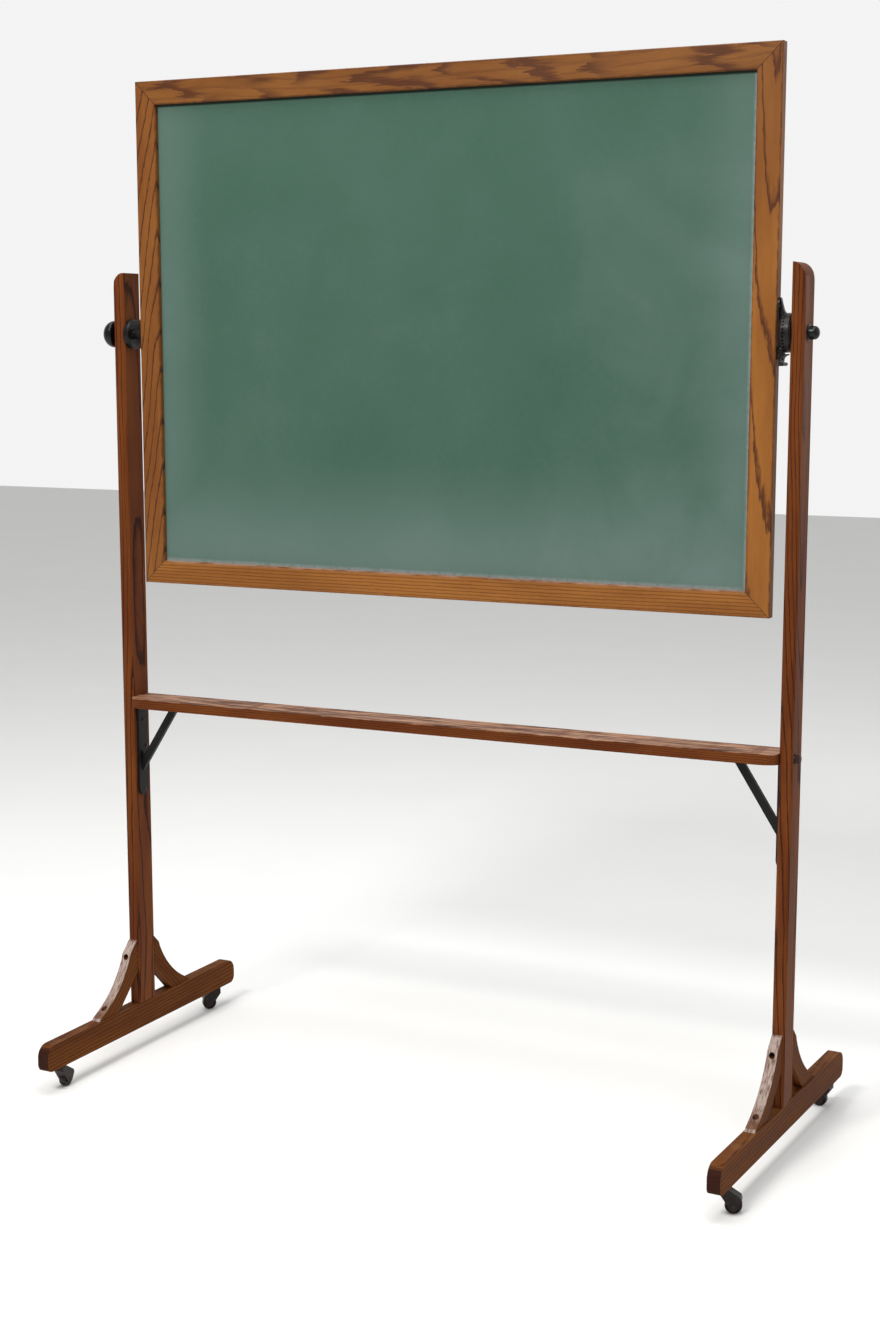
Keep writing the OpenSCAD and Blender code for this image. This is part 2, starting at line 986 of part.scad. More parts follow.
module axle(side, end) {
    color([0.22, 0.19, 0.17])
        at_caster(side, end)
            caster_axle(axle_r, 2 * cheek_outer + 2);
}

module wheel(side, end) {
    a = wheel_w / 2;
    color([0.16, 0.13, 0.13])
        at_caster(side, end)
            translate([caster_trail, 0, wheel_r])
                rotate([90, 0, 0])
                    rotate_extrude()
                        polygon([
                            [axle_r + running, -a], [6, -a], [8, -a + 1.5], [wheel_r - 4, -a + 1.5],
                            [wheel_r - 2.5, -a], [wheel_r - 1, -a + 0.8], [wheel_r, -a + 3],
                            [wheel_r, a - 3], [wheel_r - 1, a - 0.8], [wheel_r - 2.5, a],
                            [wheel_r - 4, a - 1.5], [8, a - 1.5], [6, a], [axle_r + running, a]
                        ]);
}

module fork_left_front() {
    fork(-1, -1);
}

module fork_right_front() {
    fork(1, -1);
}

module fork_left_rear() {
    fork(-1, 1);
}

module fork_right_rear() {
    fork(1, 1);
}

module axle_left_front() {
    axle(-1, -1);
}

module axle_right_front() {
    axle(1, -1);
}

module axle_left_rear() {
    axle(-1, 1);
}

module axle_right_rear() {
    axle(1, 1);
}

module wheel_left_front() {
    wheel(-1, -1);
}

module wheel_right_front() {
    wheel(1, -1);
}

module wheel_left_rear() {
    wheel(-1, 1);
}

module wheel_right_rear() {
    wheel(1, 1);
}

frame_top_rail();
frame_bottom_rail();
frame_left_stile();
frame_right_stile();
writing_panel();
left_board_plate();
right_board_plate();
board_plate_screws();
pivot_stud();
lever_pin();
release_lever();
clamp_knob();
left_pivot_dish();
right_pivot_disc();
right_pivot_pin();
right_cap_knob();
left_post();
right_post();
left_foot();
right_foot();
brace_left_front();
brace_left_rear();
brace_right_front();
brace_right_rear();
brace_screws();
chalk_tray();
tray_end_bolt();
tray_bolt_washer();
left_tray_bracket();
right_tray_bracket();
tray_bracket_screws();
caster_sockets();
fork_left_front();
fork_right_front();
fork_left_rear();
fork_right_rear();
axle_left_front();
axle_right_front();
axle_left_rear();
axle_right_rear();
wheel_left_front();
wheel_right_front();
wheel_left_rear();
wheel_right_rear();
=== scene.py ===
import math

import bpy
from mathutils import Euler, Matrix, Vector


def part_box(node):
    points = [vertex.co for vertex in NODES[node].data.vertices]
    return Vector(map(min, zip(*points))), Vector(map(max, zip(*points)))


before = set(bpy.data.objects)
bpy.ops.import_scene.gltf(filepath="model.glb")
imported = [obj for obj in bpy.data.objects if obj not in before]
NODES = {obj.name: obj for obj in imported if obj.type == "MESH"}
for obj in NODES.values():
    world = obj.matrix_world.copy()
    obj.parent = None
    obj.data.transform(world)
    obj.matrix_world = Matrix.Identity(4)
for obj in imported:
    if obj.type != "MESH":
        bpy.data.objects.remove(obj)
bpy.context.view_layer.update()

# Looks of the revolving school chalkboard. Metres, +X right, -Y front, +Z up, floor at zero.

MM = 0.001
SIDES = {"left": -1, "right": 1}
ENDS = {"front": -1, "rear": 1}

# ---------- sizes read from the frame ----------

RAIL_LOW, RAIL_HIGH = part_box("frame_top_rail")
BOTTOM_LOW, BOTTOM_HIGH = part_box("frame_bottom_rail")
TRAY_TOP_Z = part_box("chalk_tray")[1].z
BOARD_HALF_W = RAIL_HIGH.x
BOARD_HALF_T = RAIL_HIGH.y
BOARD_MID_Z = (RAIL_HIGH.z + BOTTOM_LOW.z) / 2
BOARD_HALF_H = RAIL_HIGH.z - BOARD_MID_Z
RAIL_FACE = RAIL_HIGH.z - RAIL_LOW.z
SIGHT_HALF_W = BOARD_HALF_W - RAIL_FACE
SIGHT_HALF_H = BOARD_HALF_H - RAIL_FACE
POST_BOX = {side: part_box(side + "_post") for side in SIDES}
POST_MID_X = (POST_BOX["right"][0].x + POST_BOX["right"][1].x) / 2


# ---------- material graph ----------

def linear(rgb):
    """Scene-linear colour of a display colour given from 0 to 1."""
    return tuple(c / 12.92 if c <= 0.04045 else ((c + 0.055) / 1.055) ** 2.4 for c in rgb)


class Graph:
    """A material's node tree, built by calls that return output sockets."""

    def __init__(self, name):
        self.material = bpy.data.materials.new(name)
        self.material.use_nodes = True
        self.tree = self.material.node_tree
        self.shader = self.tree.nodes["Principled BSDF"]

    def node(self, kind, **settings):
        made = self.tree.nodes.new(kind)
        for key, value in settings.items():
            setattr(made, key, value)
        return made

    def put(self, socket, value):
        """Links or sets a socket. Three numbers on a colour socket are a display colour."""
        if isinstance(value, bpy.types.NodeSocket):
            self.tree.links.new(value, socket)
        elif isinstance(value, (tuple, list)) and len(value) == 3 and socket.type == "RGBA":
            socket.default_value = (*linear(value), 1.0)
        else:
            socket.default_value = value

    def calc(self, operation, a, b=0.0, c=0.0):
        made = self.node("ShaderNodeMath", operation=operation)
        for socket, value in zip(made.inputs, (a, b, c)):
            self.put(socket, value)
        return made.outputs[0]

    def add(self, a, b):
        return self.calc("ADD", a, b)

    def sub(self, a, b):
        return self.calc("SUBTRACT", a, b)

    def mul(self, a, b):
        return self.calc("MULTIPLY", a, b)

    def smallest(self, a, b):
        return self.calc("MINIMUM", a, b)

    def largest(self, a, b):
        return self.calc("MAXIMUM", a, b)

    def size(self, a):
        return self.calc("ABSOLUTE", a)

    def fade(self, value, low, high, start=0.0, end=1.0):
        """Smooth step of value from start at low to end at high."""
        made = self.node("ShaderNodeMapRange", interpolation_type="SMOOTHSTEP")
        for key, number in (("From Min", low), ("From Max", high), ("To Min", start), ("To Max", end)):
            made.inputs[key].default_value = number
        self.put(made.inputs["Value"], value)
        return made.outputs["Result"]

    def mix(self, factor, a, b):
        made = self.node("ShaderNodeMix", data_type="RGBA", clamp_factor=True)
        self.put(made.inputs[0], factor)
        self.put(made.inputs[6], a)
        self.put(made.inputs[7], b)
        return made.outputs[2]

    def place(self):
        return self.node("ShaderNodeTexCoord").outputs["Object"]

    def facing(self):
        """X, Y and Z of the surface's normal."""
        return self.split(self.node("ShaderNodeNewGeometry").outputs["Normal"])

    def split(self, vector):
        made = self.node("ShaderNodeSeparateXYZ")
        self.put(made.inputs[0], vector)
        return made.outputs

    def join(self, x, y, z):
        made = self.node("ShaderNodeCombineXYZ")
        for socket, value in zip(made.inputs, (x, y, z)):
            self.put(socket, value)
        return made.outputs[0]

    def dot(self, vector, direction):
        made = self.node("ShaderNodeVectorMath", operation="DOT_PRODUCT")
        self.put(made.inputs[0], vector)
        made.inputs[1].default_value = direction
        return made.outputs["Value"]

    def stretch(self, vector, scale, offset=(0, 0, 0)):
        made = self.node("ShaderNodeVectorMath", operation="MULTIPLY_ADD")
        self.put(made.inputs[0], vector)
        made.inputs[1].default_value = scale
        made.inputs[2].default_value = offset
        return made.outputs[0]

    def noise(self, vector, scale, detail=3.0, roughness=0.5, distortion=0.0):
        made = self.node("ShaderNodeTexNoise")
        self.put(made.inputs["Vector"], vector)
        for key, number in (("Scale", scale), ("Detail", detail), ("Roughness", roughness),
                            ("Distortion", distortion)):
            made.inputs[key].default_value = number
        return made.outputs["Fac"]

    def streaks(self, vector, kind, offset=(0, 0, 0)):
        """Stretched noise. kind gives its repeats a metre along three axes, its detail and its roughness."""
        scale, detail, roughness = kind
        return self.noise(self.stretch(vector, scale, offset), 1.0, detail, roughness)

    def ramp(self, factor, stops):
        made = self.node("ShaderNodeValToRGB")
        self.put(made.inputs[0], factor)
        elements = made.color_ramp.elements
        while len(elements) < len(stops):
            elements.new(0.5)
        for element, (place, rgb) in zip(elements, stops):
            element.position = place
            element.color = (*linear(rgb), 1.0)
        return made.outputs[0]

    def bump(self, height, distance, strength):
        made = self.node("ShaderNodeBump")
        self.put(made.inputs["Height"], height)
        made.inputs["Distance"].default_value = distance
        made.inputs["Strength"].default_value = strength
        return made.outputs[0]

    def finish(self, colour, roughness, normal=None, **sockets):
        self.put(self.shader.inputs["Base Color"], colour)
        self.put(self.shader.inputs["Roughness"], roughness)
        if normal is not None:
            self.put(self.shader.inputs["Normal"], normal)
        for key, value in sockets.items():
            self.shader.inputs[key.replace("_", " ")].default_value = value
        return self.material


def dress(node, material):
    """Gives a CAD node's every slot the material."""
    mesh = NODES[node].data
    mesh.materials.clear()
    mesh.materials.append(material)


# ---------- oak ----------

X_AXIS = (1.0, 0.0, 0.0)
Y_AXIS = (0.0, 1.0, 0.0)
Z_AXIS = (0.0, 0.0, 1.0)

# Display colours of each tone of oak: early wood, late wood, pores and worn edges
GOLDEN_OAK = {
    "light": (0.590, 0.375, 0.150), "mid": (0.515, 0.310, 0.110), "late": (0.275, 0.130, 0.062),
    "pore": (0.20, 0.095, 0.04), "edge": (0.26, 0.13, 0.06), "edge_share": 0.5, "roughness": 0.48,
    "gloss": 0.2,
}
AMBER_OAK = {
    "light": (0.492, 0.308, 0.130), "mid": (0.430, 0.253, 0.095), "late": (0.255, 0.118, 0.058),
    "pore": (0.18, 0.085, 0.04), "edge": (0.23, 0.115, 0.055), "edge_share": 0.5, "roughness": 0.48,
    "gloss": 0.2,
}
TAWNY_OAK = {
    "light": (0.520, 0.322, 0.128), "mid": (0.442, 0.252, 0.092), "late": (0.235, 0.105, 0.050),
    "pore": (0.18, 0.085, 0.04), "edge": (0.24, 0.12, 0.055), "edge_share": 0.5, "roughness": 0.48,
    "gloss": 0.2,
}
RED_OAK = {
    "light": (0.440, 0.240, 0.105), "mid": (0.360, 0.175, 0.075), "late": (0.165, 0.068, 0.036),
    "pore": (0.110, 0.048, 0.028), "edge": (0.54, 0.34, 0.19), "edge_share": 0.6, "roughness": 0.50,
    "gloss": 0.05,
}
BROWN_OAK = {
    "light": (0.418, 0.240, 0.100), "mid": (0.345, 0.182, 0.070), "late": (0.160, 0.074, 0.038),
    "pore": (0.100, 0.048, 0.028), "edge": (0.50, 0.32, 0.19), "edge_share": 0.6, "roughness": 0.55,
    "gloss": 0.03,
}

# Noise in a piece's own axes, along, across and through it
RING_WANDER = ((1.6, 9.0, 9.0), 2.0, 0.5)
RING_JAG = ((30.0, 160.0, 160.0), 3.0, 0.6)
PORES = ((55.0, 1500.0, 1500.0), 2.0, 0.6)
FIBRE = ((14.0, 520.0, 520.0), 3.0, 0.6)
CLOUD = ((4.0, 22.0, 22.0), 3.0, 0.55)
FLAME_BEND = ((4.5, 24.0, 4.0), 2.0, 0.5)
FLAME_JAG = ((24.0, 300.0, 40.0), 3.0, 0.6)
FLAME_STRENGTH = ((3.4, 9.0, 2.0), 1.0, 0.5)

# Shares of a ring's width, of a pore's mask and of a fibre's tint
LATE_FULL = 0.93
LATE_ENDS = 0.94
PORE_IN_EARLY = 0.35
PORE_IN_LATE = 0.65
FIBRE_SHARE = 0.45
PORE_SHARE = 0.7
ROUGHNESS_SPREAD = 0.25
WEAR_REPEATS = 60.0
GRAIN_RELIEF = 0.25 * MM


def ring_spec(seed, pith_across, pith_deep, slant, rings, **changes):
    """Where the pith runs beside a piece and how its rings look. rings is their number in a metre."""
    spec = {
        "seed": seed, "pith_across": pith_across, "pith_deep": pith_deep, "slant": slant, "rings": rings,
        "wander": 2.2, "jag": 0.35, "drift": 0.0, "late_from": 0.62, "late_share": 0.85,
        "pore_share": PORE_SHARE,
    }
    spec.update(changes)
    return spec


def grain(graph, along, across, depth, spec):
    """Ring, pore and fibre masks of sawn oak in the plane of a piece."""
    place = graph.place()
    seed = spec["seed"]
    length = graph.dot(place, along)
    width = graph.dot(place, across)
    deep = graph.dot(place, depth)
    local = graph.join(length, width, deep)
    wander = graph.streaks(local, RING_WANDER, (seed, 0, 0))
    jag = graph.streaks(local, RING_JAG, (0, seed, 0))
    beside = graph.calc("MULTIPLY_ADD", length, spec["drift"], graph.sub(width, spec["pith_across"]))
    below = graph.add(deep, graph.calc("MULTIPLY_ADD", length, spec["slant"], spec["pith_deep"]))
    radius = graph.calc("SQRT", graph.add(graph.mul(beside, beside), graph.mul(below, below)))
    waves = graph.add(graph.mul(wander, spec["wander"]), graph.mul(jag, spec["jag"]))
    turn = graph.calc("FRACT", graph.add(graph.mul(radius, spec["rings"]), waves))
    darkens = graph.fade(turn, spec["late_from"], LATE_FULL)
    band = graph.mul(darkens, graph.fade(turn, LATE_ENDS, 1.0, start=1.0, end=0.0))
    if "flame" in spec:
        band = graph.largest(graph.mul(band, spec["flame"]["lines"]), flames(graph, local, spec["flame"]))
    pores = graph.streaks(local, PORES, (seed, seed, 0))
    fibre = graph.streaks(local, FIBRE, (0, 0, seed))
    cloud = graph.streaks(local, CLOUD, (seed, 5, 1))
    return local, band, pores, fibre, cloud


def flames(graph, local, flame):
    """Dark patches that cross a flat-sawn rail, sharp and jagged on one side and soft on the other."""
    length, width, deep = graph.split(local)
    bend = graph.streaks(local, FLAME_BEND, (2, 9, 0))
    jag = graph.streaks(local, FLAME_JAG, (7, 0, 3))
    strength = graph.streaks(local, FLAME_STRENGTH, (4, 4, 1))
    lean = graph.calc("MULTIPLY_ADD", width, flame["lean"], length)
    waves = graph.add(graph.mul(bend, flame["bend"]), graph.mul(jag, flame["jag"]))
    turn = graph.calc("FRACT", graph.add(graph.mul(lean, flame["per_metre"]), waves))
    sharp = graph.fade(turn, *flame["sharp"])
    soft = graph.fade(turn, *flame["soft"], start=1.0, end=0.0)
    return graph.mul(graph.mul(sharp, soft), graph.fade(strength, *flame["strong"]))


def oak(name, along, across, depth, palette, spec, edges=None, soil_and_painted_light=None):
    """Oiled and worn oak. Both mask arguments are functions that give masks from the graph; the last brings
    dirt and wear, and on some pieces painted sheen and painted shade.
    """
    graph = Graph(name)
    local, band, pores, fibre, cloud = grain(graph, along, across, depth, spec)
    colour = graph.mix(graph.fade(cloud, 0.32, 0.68), palette["mid"], palette["light"])
    colour = graph.mix(graph.mul(graph.fade(fibre, 0.35, 0.75), FIBRE_SHARE), colour, palette["mid"])
    colour = graph.mix(graph.mul(band, spec["late_share"]), colour, palette["late"])
    in_ring = graph.add(PORE_IN_EARLY, graph.mul(band, PORE_IN_LATE))
    pore_mask = graph.mul(graph.fade(pores, 0.60, 0.70), in_ring)
    colour = graph.mix(graph.mul(pore_mask, spec["pore_share"]), colour, palette["pore"])
    # Painted shade: the colour darkens between two lengths along the piece.
    if "dim" in spec:
        low, high, share = spec["dim"]
        length = graph.split(local)[0]
        colour = graph.mix(graph.fade(length, low, high, start=0.0, end=share), colour, palette["late"])
    if edges is not None:
        wear = graph.mul(edges(graph), graph.fade(graph.noise(local, WEAR_REPEATS), 0.35, 0.65))
        colour = graph.mix(graph.mul(wear, palette["edge_share"]), colour, palette["edge"])
    if soil_and_painted_light is not None:
        mask, dirt_and_painted_light = soil_and_painted_light(graph)
        colour = graph.mix(mask, colour, dirt_and_painted_light)
    roughness = graph.add(palette["roughness"], graph.mul(graph.sub(cloud, 0.5), ROUGHNESS_SPREAD))
    hollows = graph.add(graph.mul(pore_mask, 0.8), graph.mul(band, 0.3))
    height = graph.sub(graph.mul(fibre, 0.4), hollows)
    normal = graph.bump(height, GRAIN_RELIEF, strength=0.6)
    return graph.finish(colour, roughness, normal, Specular_IOR_Level=palette["gloss"])


# ---------- the board's frame ----------

# Colour of the painted shadow in the mitre gaps.
MITRE_GAP_SHADE = (0.13, 0.07, 0.04)
LIP_DUST = (0.62, 0.50, 0.44)
RED_STAIN = (0.40, 0.185, 0.11)
LIP_BREAKS = ((30.0, 60.0, 200.0), 3.0, 0.5)
STAIN_BREAKS = ((50.0, 50.0, 5.0), 3.0, 0.5)
TOP_RAIL_FLAME = {
    "lean": 2.4, "per_metre": 6.5, "bend": 3.0, "jag": 0.55, "lines": 0.40,
    "sharp": (0.03, 0.07), "soft": (0.20, 0.55), "strong": (0.38, 0.50),
}


def from_outside(graph):
    """How far a point lies in from the frame's sides and from its top and bottom."""
    x, y, z = graph.split(graph.place())
    beside = graph.sub(BOARD_HALF_W, graph.size(x))
    above = graph.sub(BOARD_HALF_H, graph.size(graph.sub(z, BOARD_MID_Z)))
    return beside, above


def frame_edges(graph):
    """High on the eased edges, outside and at the sight opening, on both faces."""
    x, y, z = graph.split(graph.place())
    from_face = graph.sub(BOARD_HALF_T, graph.size(y))
    outer = graph.smallest(*from_outside(graph))
    inner = graph.sub(RAIL_FACE, outer)
    nearest = graph.smallest(outer, inner)
    away = graph.add(nearest, graph.largest(from_face, 0.0))
    return graph.fade(away, 1.2 * MM, 4.5 * MM, start=1.0, end=0.0)


def mitre_line(graph):
    """Painted shadow in the four mitre gaps, a thin dark line."""
    beside, above = from_outside(graph)
    gap = graph.size(graph.sub(beside, above))
    return graph.fade(gap, 0.3 * MM, 1.4 * MM, start=0.85, end=0.0), MITRE_GAP_SHADE


def chalky_lip(graph):
    """Painted mitre-gap shadow, and pale dust along the bottom rail's inner top edge."""
    seam, dirt_and_painted_light = mitre_line(graph)
    x, y, z = graph.split(graph.place())
    lip = graph.fade(z, BOTTOM_HIGH.z - 5.0 * MM, BOTTOM_HIGH.z - 1.0 * MM, end=0.55)
    broken = graph.fade(graph.streaks(graph.place(), LIP_BREAKS), 0.35, 0.6)
    dust = graph.mul(lip, broken)
    return graph.largest(seam, dust), graph.mix(graph.fade(seam, 0.3, 0.5), LIP_DUST, dirt_and_painted_light)


def inner_stain(graph):
    """Painted mitre-gap shadow, and a reddish streak down the right stile beside the panel."""
    seam, dirt_and_painted_light = mitre_line(graph)
    x, y, z = graph.split(graph.place())
    beside = graph.sub(x, SIGHT_HALF_W)
    broken = graph.fade(graph.streaks(graph.place(), STAIN_BREAKS), 0.38, 0.6)
    streak = graph.mul(graph.fade(beside, 1.0 * MM, 7.0 * MM, start=0.6, end=0.0), broken)
    return graph.largest(seam, streak), graph.mix(graph.fade(seam, 0.5, 0.6), RED_STAIN, dirt_and_painted_light)


def dress_board_frame():
    """Rails with their grain along X and stiles with theirs along Z, each sawn from another place."""
    top = ring_spec(seed=3.1, pith_across=BOARD_MID_Z + 0.56, pith_deep=0.030, slant=0.10, rings=60.0,
                    wander=3.0, late_share=0.78, flame=TOP_RAIL_FLAME)
    bottom = ring_spec(seed=8.4, pith_across=BOARD_MID_Z - 0.90, pith_deep=0.02, slant=0.01, rings=150.0,
                       wander=1.8, late_share=0.72, pore_share=1.0)
    left = ring_spec(seed=5.7, pith_across=-1.10, pith_deep=-0.05, slant=0.02, rings=66.0,
                     wander=4.2, late_share=0.9, drift=-0.17, late_from=0.72)
    # The right stile darkens towards its top: painted shade.
    right = ring_spec(seed=12.2, pith_across=0.650, pith_deep=-0.115, slant=0.06, rings=62.0,
                      wander=2.4, late_from=0.76, late_share=0.9, dim=(1.50, 1.98, 0.34))
    pieces = {
        "frame_top_rail": (X_AXIS, Z_AXIS, AMBER_OAK, mitre_line, top),
        "frame_bottom_rail": (X_AXIS, Z_AXIS, GOLDEN_OAK, chalky_lip, bottom),
        "frame_left_stile": (Z_AXIS, X_AXIS, TAWNY_OAK, mitre_line, left),
        "frame_right_stile": (Z_AXIS, X_AXIS, GOLDEN_OAK, inner_stain, right),
    }
    for node, (along, across, palette, soil_and_painted_light, spec) in pieces.items():
        dress(node, oak(node + "_oak", along, across, Y_AXIS, palette, spec, frame_edges, soil_and_painted_light))


# ---------- the stand ----------

# The posts' side tint, and the streaks, heights and share for it below, are painted sheen on the posts' outer
# faces.
POST_SHEEN_TINT = (0.47, 0.335, 0.28)
# The feet's top tint, with its repeats and share further down, is wear mixed with painted sheen.
FOOT_SCUFF_AND_SHEEN = (0.50, 0.34, 0.21)
END_GRAIN = (0.175, 0.100, 0.085)
# The braces' two tones here, and their streaks and share further down, are painted sheen.
BRACE_SHEEN_TONES = ((0.45, 0.35, 0.31), (0.69, 0.62, 0.585))
SIDE_SHEEN_STREAKS = ((40.0, 40.0, 2.5), 3.0, 0.6)
SIDE_SHEEN_FROM_Z = 1.05
SIDE_SHEEN_FULL_Z = 1.62
SIDE_SHEEN_SHARE = 0.72
SCUFF_AND_SHEEN_REPEATS = 26.0
SCUFF_AND_SHEEN_SHARE = 0.30
END_GRAIN_SHARE = 0.88
BRACE_SHEEN_STREAKS = ((420.0, 60.0, 60.0), 3.0, 0.6)
BRACE_SHEEN_SHARE = 0.92
PITH_BESIDE_POST = 0.076
PITH_BEHIND_FOOT = 0.03


def post_edges(side):
    """Mask of a post's worn long edges."""
    low, high = POST_BOX[side]
    mid = (low.x + high.x) / 2

    def mask(graph):
        x, y, z = graph.split(graph.place())
        beside = graph.sub((high.x - low.x) / 2, graph.size(graph.sub(x, mid)))
        front = graph.sub(high.y, graph.size(y))
        return graph.fade(graph.add(beside, front), 2.8 * MM, 6.0 * MM, start=1.0, end=0.0)

    return mask


def painted_side_sheen(side):
    """Painted sheen: a greyish reflection painted on a post's outer face, fading downwards."""
    low, high = POST_BOX[side]
    face = high.x if side == "right" else -low.x

    def soil_and_painted_light(graph):
        x, y, z = graph.split(graph.place())
        depth = graph.sub(face, graph.mul(x, SIDES[side]))
        on_face = graph.fade(depth, 0.4 * MM, 1.6 * MM, start=1.0, end=0.0)
        height = graph.fade(z, SIDE_SHEEN_FROM_Z, SIDE_SHEEN_FULL_Z, start=0.0, end=SIDE_SHEEN_SHARE)
        streaks = graph.streaks(graph.place(), SIDE_SHEEN_STREAKS, (1, 5, 2))
        mask = graph.mul(graph.mul(on_face, height), graph.fade(streaks, 0.32, 0.62))
        return mask, POST_SHEEN_TINT

    return soil_and_painted_light


def scuff_and_sheen_top(graph):
    """Slight wear and painted sheen on the feet's upper faces, and dark end grain."""
    x, y, up = graph.facing()
    broken = graph.fade(graph.noise(graph.place(), SCUFF_AND_SHEEN_REPEATS, detail=4.0, roughness=0.6), 0.42, 0.66)
    # Upward faces are lightened: partly wear, partly painted sheen.
    top_wear_and_sheen = graph.mul(graph.mul(graph.fade(up, 0.3, 0.9), broken), SCUFF_AND_SHEEN_SHARE)
    end = graph.fade(graph.size(y), 0.45, 0.80, start=0.0, end=END_GRAIN_SHARE)
    colour = graph.mix(graph.fade(end, 0.2, 0.5), FOOT_SCUFF_AND_SHEEN, END_GRAIN)
    return graph.largest(top_wear_and_sheen, end), colour


def painted_brace_sheen(graph):
    """Painted sheen of the sky: a greyish bloom painted over the braces' hollow outer faces that turn up and
    out.
    """
    x, across, up = graph.facing()
    outward = graph.mul(graph.fade(graph.size(across), 0.35, 0.7), graph.fade(up, -0.05, 0.15))
    streaks = graph.streaks(graph.place(), BRACE_SHEEN_STREAKS, (3, 1, 8))
    colour = graph.mix(graph.fade(streaks, 0.34, 0.58), *BRACE_SHEEN_TONES)
    return graph.mul(outward, BRACE_SHEEN_SHARE), colour


def dress_post(side, sign):
    name = side + "_post"
    spec = ring_spec(seed=21.0 + 4 * sign, pith_across=sign * (POST_MID_X + PITH_BESIDE_POST),
                     pith_deep=-0.06, slant=0.055, rings=120.0,
                     wander=5.0, late_share=0.9, late_from=0.68, drift=0.015)
    # Painted sheen on the post's outer face.
    soil_and_painted_light = painted_side_sheen(side)
    dress(name, oak(name + "_oak", Z_AXIS, X_AXIS, Y_AXIS, RED_OAK, spec, post_edges(side), soil_and_painted_light))


def dress_foot(side, sign):
    name = side + "_foot"
    spec = ring_spec(seed=31.0 + 3 * sign, pith_across=0.16, pith_deep=PITH_BEHIND_FOOT - sign * POST_MID_X,
                     slant=0.02, rings=130.0, wander=3.0, late_share=0.75)
    dress(name, oak(name + "_oak", Y_AXIS, Z_AXIS, X_AXIS, BROWN_OAK, spec, None, scuff_and_sheen_top))


def dress_brace(side, sign, end, way):
    """A brace's grain runs down its slope, from the post to the foot."""
    name = "brace_" + side + "_" + end
    half = math.sqrt(0.5)
    spec = ring_spec(seed=41.0 + sign + 3 * way, pith_across=0.30,
                     pith_deep=PITH_BEHIND_FOOT - sign * POST_MID_X,
                     slant=0.02, rings=120.0, wander=2.4, late_share=0.7)
    along = (0.0, way * half, -half)
    across = (0.0, way * half, half)
    dress(name, oak(name + "_oak", along, across, X_AXIS, BROWN_OAK, spec, None, painted_brace_sheen))


def dress_stand():
    for side, sign in SIDES.items():
        dress_post(side, sign)
        dress_foot(side, sign)
        for end, way in ENDS.items():
            dress_brace(side, sign, end, way)


# ---------- the tray ----------

TRAY_STREAKS = ((8.0, 105.0, 60.0), 4.0, 0.62)
TRAY_PATCHES = ((9.0, 70.0, 20.0), 3.0, 0.6)
TRAY_TONES = [
    (0.42, (0.20, 0.105, 0.065)), (0.46, (0.50, 0.345, 0.255)), (0.60, (0.66, 0.51, 0.405)),
]
TRAY_PATCH = (0.27, 0.15, 0.10)
WAVES_PER_METRE = 24.0
WAVE_HEIGHT = 7.0 * MM
WEAR_BELOW_TOP = 2.6 * MM
BARE_SHARE = 0.92


def worn_top(graph):
    """Bare, weathered top of the tray, its varnish worn back unevenly over the front edge."""
    place = graph.place()
    x, y, z = graph.split(place)
    wave = graph.noise(graph.join(graph.mul(x, WAVES_PER_METRE), 0.0, 2.0), 1.0, detail=3.0, roughness=0.6)
    edge = graph.calc("MULTIPLY_ADD", wave, WAVE_HEIGHT, graph.sub(z, TRAY_TOP_Z + WEAR_BELOW_TOP))
    bare = graph.fade(edge, -0.8 * MM, 0.8 * MM)
    streak = graph.streaks(place, TRAY_STREAKS, (0, 6, 3))
    patch = graph.streaks(place, TRAY_PATCHES, (5, 2, 0))
    colour = graph.mix(graph.fade(patch, 0.53, 0.60, end=0.75), graph.ramp(streak, TRAY_TONES), TRAY_PATCH)
    return graph.mul(bare, BARE_SHARE), colour


def dress_tray():
    spec = ring_spec(seed=55.0, pith_across=0.05, pith_deep=0.30, slant=0.01, rings=230.0,
                     wander=3.2, late_share=0.8)
    dress("chalk_tray", oak("tray_oak", X_AXIS, Z_AXIS, Y_AXIS, RED_OAK, spec, None, worn_top))


# ---------- writing surface ----------

GREEN_TONES = [
    (0.30, (0.210, 0.337, 0.282)), (0.50, (0.230, 0.352, 0.298)), (0.72, (0.258, 0.372, 0.322)),
]
GREEN_MOTTLE = (0.29, 0.375, 0.330)
CHALK_HAZE = (0.375, 0.455, 0.430)
CHALK_DUST = (0.60, 0.63, 0.64)
CHALK_SPECK = (0.52, 0.58, 0.55)
RAIL_SHADOW = (0.085, 0.095, 0.085)
SMEAR_STRETCH = (4.2, 4.2, 3.4)
SIDE_HAZE_WIDTH = 0.13
FOOT_HAZE_HEIGHT = 0.24


def chalk_haze(graph, x, rise, smear):
    """Share of chalk left by wiping: along both sides, along the bottom and in the right third."""
    beside = graph.sub(SIGHT_HALF_W, graph.size(x))
    from_bottom = graph.add(rise, SIGHT_HALF_H)
    at_side = graph.fade(beside, 0.0, SIDE_HAZE_WIDTH, start=0.52, end=0.0)
    at_foot = graph.fade(from_bottom, 0.0, FOOT_HAZE_HEIGHT, start=0.80, end=0.0)
    haze = graph.mul(graph.largest(at_side, at_foot), graph.fade(smear, 0.2, 0.75, start=0.75))
    haze = graph.add(haze, graph.fade(smear, 0.5, 0.8, end=0.10))
    right_third = graph.mul(graph.fade(x, 0.18, 0.42), graph.fade(rise, 0.42, 0.20))
    return graph.add(haze, graph.mul(right_third, graph.fade(smear, 0.35, 0.62, start=0.04, end=0.24)))


def chalk_rim(graph, x, rise, mottle):
    """Loose dust along the right and bottom edges."""
    rim = graph.smallest(graph.sub(SIGHT_HALF_W, x), graph.add(rise, SIGHT_HALF_H))
    near = graph.fade(rim, 0.5 * MM, 9.0 * MM, start=0.65, end=0.0)
    return graph.mul(near, graph.fade(mottle, 0.3, 0.6, start=0.4))


